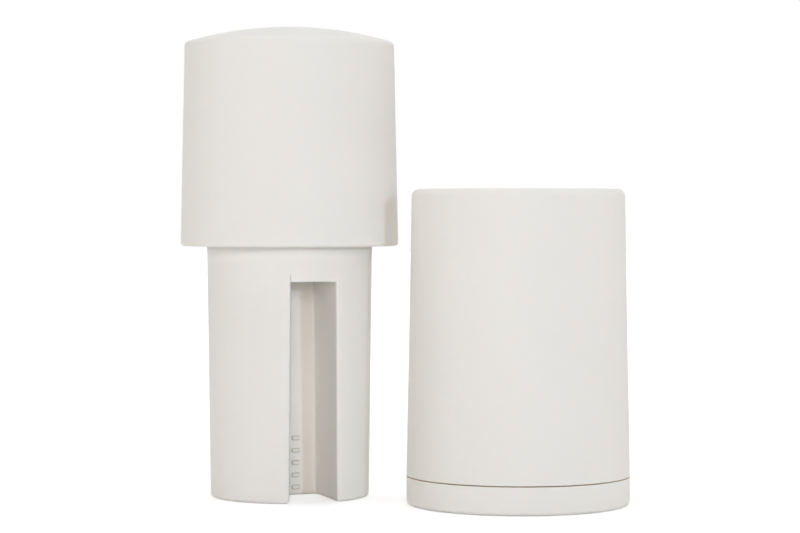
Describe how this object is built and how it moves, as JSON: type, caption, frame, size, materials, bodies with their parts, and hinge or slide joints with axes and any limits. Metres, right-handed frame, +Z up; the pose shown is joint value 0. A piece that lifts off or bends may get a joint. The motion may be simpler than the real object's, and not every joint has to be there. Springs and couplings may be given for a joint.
{
  "type": "twist spice mill",
  "caption": "Hand-twisted spice mill taken apart: domed grip cap on a slotted drum, beside an open tapered body with a steel blade sleeve and a push-fit base cap.",
  "frame": {"origin": "centre of the body's base, on the surface that the mill stands on", "axes": "+Z up along the body's axis, -Y towards the front with the drum's slot, -X towards the twist top that stands beside the body"},
  "size_m": [0.1222, 0.0795, 0.1291],
  "materials": {
    "shell_plastic": "matte warm white moulded plastic",
    "inner_plastic": "plain moulded inner plastic",
    "blade_steel": "etched stainless sheet",
    "screw_steel": "plain stainless",
    "silicone": "soft grey silicone"
  },
  "bodies": {
    "base": {"base_cap": "shell_plastic", "base_seal": "silicone"},
    "mill_body": {"body_shell": "shell_plastic", "blade_cage": "inner_plastic", "blade_sleeve": "blade_steel", "seam_strip": "blade_steel", "blade_floor": "inner_plastic", "floor_screws": "screw_steel"},
    "bearing": {"slip_ring": "inner_plastic"},
    "twist_top": {"grip_shell": "shell_plastic", "grip_core": "inner_plastic", "drum": "shell_plastic", "drum_lid": "inner_plastic", "flange_seal": "silicone", "flange_screws": "screw_steel"}
  },
  "joints": [
    {"name": "body_pull", "type": "slide", "parent": "base", "child": "mill_body", "axis": [0, 0, 1], "range_m": [0, 0.02]},
    {"name": "top_lift", "type": "slide", "parent": "base", "child": "bearing", "axis": [0, 0, 1], "range_m": [0, 0.09]},
    {"name": "top_twist", "type": "hinge", "parent": "bearing", "child": "twist_top", "pos_m": [-0.0622, 0.0195, 0.0722], "axis": [0, 0, 1], "continuous": true}
  ]
}
